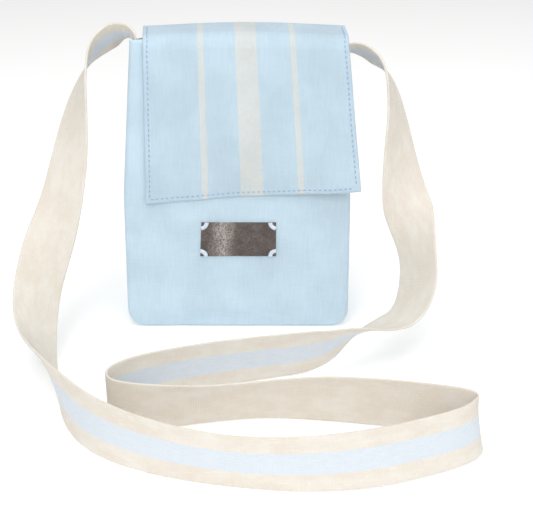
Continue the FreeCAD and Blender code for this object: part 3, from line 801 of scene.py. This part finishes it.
for word, plane, outwards, top in (("front", front_y, -1, FRONT_TOP), ("back", back_y, 1, BACK_TOP)):
    flat_cloth(f"{word}_lining_cloth", plane, outwards, 2.6, LINING_THICKNESS, 2.6, top - 4,
               lining_half_width, lining, [f"{word}_lining"])
    flat_cloth(f"{word}_facing_cloth", plane, outwards, 3.7, LINING_THICKNESS, top - 18, top - 2.4,
               facing_half_width, canvas, [f"{word}_facing"])
    hem = [(x, plane(top - 15.5) - outwards * 5.0, top - 15.5) for x in np.linspace(-71, 71, 60)]
    hem_threads = threads(f"{word}_facing_threads", stitch_line(hem, 3.4, 2.4), 0.26, body_thread)
    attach(hem_threads, "root")


# ---------------------------------------------------------------- flap

FLAP_LEFT = top_low[0]
FLAP_RIGHT = top_high[0]
FLAP_RIGHT_LOW = flap_high[0]
FLAP_OUT = 4.4
ROOT_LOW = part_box("flap_root")[0][2] / MM
FRONT_FOLD_RADIUS = 13.0
BACK_FOLD_RADIUS = 4.0
SPLIT_Y = 30.0
FLAP_HANG = 118.0
FLAP_STITCH_PITCH = 4.0
FLAP_STITCH_LENGTH = 1.5


def flap_drop(x):
    """Height of the flap's lower edge."""
    return np.interp(x, [-73, -40, 2.5, 52, 75, 97], [105.1, 108.0, 111.7, 113.2, 112.8, 114.4])


def rounded_line(corners, radii, step):
    """Points along a line in the side view whose corners are rounded."""
    points = [np.array(corners[0], float)]
    for before, here, after, radius in zip(corners, corners[1:], corners[2:], radii):
        before, here, after = (np.array(p, float) for p in (before, here, after))
        way_in = (here - before) / np.linalg.norm(here - before)
        way_out = (after - here) / np.linalg.norm(after - here)
        turn = math.acos(float(np.clip(way_in @ way_out, -1, 1)))
        trim = radius * math.tan(turn / 2)
        start = here - way_in * trim
        normal = way_out - way_in * (way_in @ way_out)
        normal /= np.linalg.norm(normal)
        centre = start + normal * radius
        count = max(4, int(radius * turn / step * 2))
        for angle in np.linspace(0, turn, count):
            points.append(centre - normal * radius * math.cos(angle) + way_in * radius * math.sin(angle))
    points.append(np.array(corners[-1], float))
    dense = []
    for here, there in zip(points, points[1:]):
        count = max(1, int(np.linalg.norm(there - here) / step))
        dense += [here + (there - here) * k / count for k in range(count)]
    return np.array(dense + [points[-1]])


def front_out(z, out):
    """Y of a sheet lying out from the front panel."""
    return front_y(z) - out * math.hypot(1, FRONT_SLOPE)


def flap_profile(out_front, out_back, lift):
    """The flap's line in the side view, from its root on the back to the level of its lower edge."""
    back_corner_z = 230.4 + lift + (55 - (back_y(230) + out_back)) * 0.06
    back_corner = (back_y(back_corner_z) + out_back, back_corner_z)
    front_corner_z = 233.4 + lift
    front_corner = (front_out(front_corner_z, out_front), front_corner_z)
    return rounded_line([(back_y(ROOT_LOW) + out_back, ROOT_LOW), back_corner, front_corner,
                         (front_out(100.0, out_front), 100.0)],
                        (BACK_FOLD_RADIUS, FRONT_FOLD_RADIUS), 2.2)


PROFILE = flap_profile(FLAP_OUT, 1.5, 0.0)
SPLIT_ROW = int(np.argmax((PROFILE[:, 0] < SPLIT_Y) & (PROFILE[:, 1] > 200)))
FOLD_ROW = int(np.argmax((PROFILE[:, 0] < front_out(226.0, FLAP_OUT)) | ((PROFILE[:, 1] < 226.0)
                         & (PROFILE[:, 0] < 20))))
RUN = np.concatenate([[0], np.cumsum(np.linalg.norm(np.diff(PROFILE, axis=0), axis=1))])


def flap_point(share, row_share):
    """A point of the flap's outer face. row_share counts profile rows down to the fold as whole
    numbers from 0, then from FOLD_ROW to FOLD_ROW + 1 down the hanging part to its lower edge."""
    share, row = np.broadcast_arrays(np.asarray(share, float), np.asarray(row_share, float))
    steps = np.arange(FOLD_ROW + 1)
    y = np.interp(row, steps, PROFILE[:FOLD_ROW + 1, 0])
    z = np.interp(row, steps, PROFILE[:FOLD_ROW + 1, 1])
    down = np.clip(row - FOLD_ROW, 0, 1)
    x_right = FLAP_RIGHT + (FLAP_RIGHT_LOW - FLAP_RIGHT) * down ** 0.9
    x_left = FLAP_LEFT + np.interp(y, [2, 52], [2.6, -2.2]) * (1 - 0.55 * down)
    x = x_left + (x_right - x_left) * share
    z_fold = PROFILE[FOLD_ROW, 1]
    hang = down > 0
    z = np.where(hang, z_fold + (flap_drop(x) - z_fold) * down, z)
    y = np.where(hang, front_out(z, FLAP_OUT), y)
    on_top = smooth(215, 231, z)
    crown = 2.8 * np.sin(math.pi * np.clip((x - FLAP_LEFT) / (FLAP_RIGHT - FLAP_LEFT), 0, 1)) ** 1.3
    z = z + crown * on_top
    corner_lift = 9.5 * smooth(15, 98, x) * smooth(0.35, 1.0, down) ** 1.4
    left_lift = 1.2 * (1 - smooth(-73, -45, x)) * smooth(0.6, 1.0, down)
    wave = 0.55 * ripple(x, z, 42.0, 17.0) + 0.25 * ripple(x, z, 17.0, 23.0)
    out = corner_lift + left_lift + (wave + 0.8 * np.sin(math.pi * share)) * smooth(0.0, 0.3, down)
    y = y - out * 0.905
    z = z + (corner_lift + left_lift) * 0.42
    z = z + 0.35 * ripple(x, y, 30.0, 31.0) * on_top
    return np.stack([x, y, z], axis=-1)


def flap_rows(start, end):
    """Row values from start to end, with close rows at the lower edge if end is past the fold."""
    rows = [float(r) for r in range(start, min(end, FOLD_ROW) + 1)]
    if end > FOLD_ROW:
        drop = PROFILE[FOLD_ROW, 1] - 112
        positions = spaced(drop, 44)[1:]
        rows += [FOLD_ROW + p / drop for p in positions if p > 1.0]
    return np.array(rows)


def flap_uv(share, row):
    share, row = np.broadcast_arrays(share, row)
    down = np.clip(row - FOLD_ROW, 0, 1)
    length = np.interp(row, np.arange(FOLD_ROW + 1), RUN[:FOLD_ROW + 1]) + down * FLAP_HANG
    return np.stack([share * FLAP_WIDTH, length], axis=-1)


def run_at(row):
    """Distance along the flap's profile, from its root, of a row that isn't past the front fold."""
    return np.interp(row, np.arange(FOLD_ROW + 1), RUN[:FOLD_ROW + 1])


def flap_thickness(row):
    """One ply on the root, growing to the stiffened flap over the back fold."""
    return 1.4 + 1.2 * smooth(22, RUN[SPLIT_ROW] - 4, run_at(row))


def flap_frame(share, row):
    """(points of the outer face, outward normals) at grids of share and row."""
    face = flap_point(share, row)
    step = 0.01
    along = flap_point(share, row + step) - flap_point(share, row - step)
    across = flap_point(share + step, row) - flap_point(share - step, row)
    normal = np.cross(along, across)
    normal /= np.maximum(np.linalg.norm(normal, axis=-1, keepdims=True), 1e-9)
    return face, normal


def build_flap_part(name, rows, thickness, sink, inset, materials, free_start):
    """A layer of the flap. thickness and sink, the depth of its middle, are one number per row."""
    share = inset + spaced(FLAP_WIDTH, 56) / FLAP_WIDTH * (1 - 2 * inset)
    r, s = np.meshgrid(rows, share, indexing="ij")
    face, normal = flap_frame(s, r)
    middle = face - normal * np.asarray(sink)[:, None, None]
    down = np.clip(r - FOLD_ROW, 0, 1)
    distance = np.minimum(s - inset, 1 - inset - s) * FLAP_WIDTH
    if rows[-1] > FOLD_ROW:
        last = rows[-1] - FOLD_ROW
        distance = np.minimum(distance, np.where(down > 0, (last - down) * FLAP_HANG, 100.0))
    if free_start:
        distance = np.minimum(distance, run_at(r) - run_at(rows[0]) + np.where(down > 0, 100.0, 0))
    half = np.asarray(thickness)[:, None] / 2
    half = (half * rounded_edge(distance, half))[..., None]
    obj = shell(name, middle + normal * half, middle - normal * half, flap_uv(s, r), materials)
    obj.data.set_sharp_from_angle(angle=math.radians(75))
    return obj


rear_rows = np.concatenate([np.array([0, 0.08, 0.3, 0.6]), flap_rows(1, SPLIT_ROW)])
rear = build_flap_part("flap_rear_cloth", rear_rows, flap_thickness(rear_rows),
                       flap_thickness(rear_rows) / 2, 0.0, [striped_canvas], True)
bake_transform(rear)
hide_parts("flap_root")

main_rows = flap_rows(SPLIT_ROW, FOLD_ROW + 1)
main = build_flap_part("flap_cloth", main_rows, flap_thickness(main_rows),
                       flap_thickness(main_rows) / 2, 0.0, [striped_canvas], False)
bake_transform(main)
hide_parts("flap_top_canvas", "flap_front_canvas", "flap_interlining")

LINING_PLY = 0.6
lining_start = int(np.argmax(RUN > 34))
lining_rows = flap_rows(lining_start, FOLD_ROW + 1)
lining_rows = np.concatenate([[lining_start, lining_start + 0.1, lining_start + 0.4], lining_rows[1:]])
past_fold = (lining_rows - FOLD_ROW) * (1 - 2.4 / FLAP_HANG)
lining_rows = np.where(lining_rows > FOLD_ROW, FOLD_ROW + past_fold, lining_rows)
lining_sink = flap_thickness(lining_rows) + 0.02 + LINING_PLY / 2
flap_lining = build_flap_part("flap_lining_cloth", lining_rows, 0 * lining_sink + LINING_PLY, lining_sink,
                              2.2 / FLAP_WIDTH, [lining], True)
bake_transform(flap_lining)
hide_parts("flap_top_lining", "flap_front_lining")


def on_flap(shares, rows, rise):
    face, normal = flap_frame(np.asarray(shares, float), np.asarray(rows, float))
    return face + normal * rise


STITCH_INSET = 3.5
EDGE = STITCH_INSET / FLAP_WIDTH
hang_rows = FOLD_ROW + np.linspace(0, 1 - STITCH_INSET / FLAP_HANG, 90)
hem_rows = np.concatenate([np.arange(SPLIT_ROW - 4, FOLD_ROW), hang_rows])
left_line = on_flap(0 * hem_rows + EDGE, hem_rows, 0.1)
low_shares = np.linspace(EDGE, 1 - EDGE, 120)
low_line = on_flap(low_shares, 0 * low_shares + hem_rows[-1], 0.1)
right_line = on_flap(0 * hem_rows + 1 - EDGE, hem_rows, 0.1)
topstitch = threads("flap_topstitch_threads",
                    [path for line in (left_line, low_line, right_line)
                     for path in stitch_line(line, FLAP_STITCH_PITCH, FLAP_STITCH_LENGTH)],
                    0.42, blue_thread)
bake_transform(topstitch)
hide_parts("flap_topstitch")

root_rows = [float(np.interp(height, RUN, np.arange(len(RUN)))) for height in (3.0, 6.5)]
root_lines = []
for row in root_rows:
    shares = np.linspace(EDGE, 1 - EDGE, 120)
    root_lines += stitch_line(on_flap(shares, 0 * shares + row, 0.1), 3.6, 2.4)
root_threads = threads("flap_root_threads", root_lines, 0.3, blue_thread)
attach(root_threads, "root")


# ---------------------------------------------------------------- leather patch

PATCH_X = (patch_low[0] + patch_high[0]) / 2
PATCH_HALF_X = (patch_high[0] - patch_low[0]) / 2
PATCH_HALF_Z = 13.9
LEAN = math.atan(FRONT_SLOPE)
PATCH_Z = 76.4
PATCH_SKEW = 0.7


def on_patch(a, b, out):
    """A point at a across and b up from the patch's centre, out from the puffed front cloth."""
    x = PATCH_X + a + PATCH_SKEW * b / PATCH_HALF_Z * np.clip(0.5 - a / PATCH_HALF_X / 2, 0, 1)
    z = PATCH_Z + b * math.cos(LEAN)
    bulge = panel_surface(x, z, FRONT_SEED) + front_dent(x, z)
    y = front_y(z) - bulge - out * math.cos(LEAN)
    return np.stack(np.broadcast_arrays(x, y, z + out * math.sin(LEAN)), axis=-1)


across = spaced(2 * PATCH_HALF_X, 110, (0, 0.1, 0.3, 0.6, 1.0)) - PATCH_HALF_X
upward = spaced(2 * PATCH_HALF_Z, 50, (0, 0.1, 0.3, 0.6, 1.0)) - PATCH_HALF_Z
b, a = np.meshgrid(upward, across, indexing="ij")
edge = np.minimum(PATCH_HALF_X - np.abs(a), PATCH_HALF_Z - np.abs(b))
pebbles = 0.10 * np.abs(ripple(a, b, 1.5, 41.0)) + 0.16 * ripple(a, b, 9.0, 43.0)
height = 1.6 * rounded_edge(edge, 0.7) + pebbles * smooth(0.2, 1.5, edge)
patch = shell("leather_label", on_patch(a, b, height), on_patch(a, b, 0.05 + 0 * a),
              np.stack([a + 100, b + 100], axis=-1), [leather])
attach(patch, "root")
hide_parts("leather_patch")

satin = []
for side_x in (-1, 1):
    for side_z in (-1, 1):
        for k in range(15):
            angle = math.radians(4 + 82 * k / 14)
            radii = np.array([3.3, 4.6, 5.9]) + random.uniform(-0.15, 0.15)
            a = side_x * (PATCH_HALF_X - radii * math.cos(angle))
            b = side_z * (PATCH_HALF_Z - radii * math.sin(angle))
            satin.append(on_patch(a, b, np.array([1.55, 1.95, 1.55])))
patch_threads = threads("patch_corner_threads", satin, 0.42, pale_thread)
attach(patch_threads, "root")
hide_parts("patch_stitches")


# ---------------------------------------------------------------- hidden hard pieces

for node, material in (("base_board", board_material()), ("body_magnet", magnet_material()),
                       ("flap_magnet", magnet_material())):
    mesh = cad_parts[node].data
    mesh.materials.clear()
    mesh.materials.append(material)


# ---------------------------------------------------------------- floor and light

def floor_material():
    n = Nodes("pale_floor")
    place = n.add("ShaderNodeTexCoord")
    cloud = n.add("ShaderNodeTexNoise")
    cloud.inputs["Scale"].default_value = 3.0
    n.feed(cloud.inputs["Vector"], place.outputs["Object"])
    colour = n.mix(cloud.outputs[0], srgb(246, 246, 245), srgb(250, 250, 250))
    n.shader.inputs["Emission Color"].default_value = srgb(250, 250, 250)
    n.shader.inputs["Emission Strength"].default_value = 0.22
    return n.finish(colour, 0.9, specular=0.1)


floor = bpy.data.meshes.new("floor")
FLOOR_REACH = 4.0
floor.from_pydata([(x * FLOOR_REACH, y * FLOOR_REACH, 0) for x, y in ((-1, -1), (1, -1), (1, 1), (-1, 1))],
                  [], [(0, 1, 2, 3)])
floor.materials.append(floor_material())
floor = bpy.data.objects.new("floor", floor)
bpy.context.collection.objects.link(floor)


def area_light(name, place, target, size, power, colour=(1, 1, 1)):
    data = bpy.data.lights.new(name, "AREA")
    data.shape = "DISK"
    data.size = size
    data.energy = power
    data.color = colour
    light = bpy.data.objects.new(name, data)
    light.location = place
    light.rotation_euler = (Vector(target) - Vector(place)).to_track_quat("-Z", "Y").to_euler()
    bpy.context.collection.objects.link(light)


area_light("key", (-0.35, -1.15, 1.3), (0, -0.08, 0.1), 0.8, 6.6)
area_light("fill", (0.3, -1.5, 0.75), (0, -0.12, 0.05), 1.4, 7.2)
area_light("top", (0.1, -0.1, 1.7), (0, -0.1, 0), 1.6, 12.5)
world = bpy.data.worlds.new("studio")
world.use_nodes = True
world.node_tree.nodes["Background"].inputs["Color"].default_value = (1.0, 1.0, 1.0, 1)
world.node_tree.nodes["Background"].inputs["Strength"].default_value = 0.5
bpy.context.scene.world = world
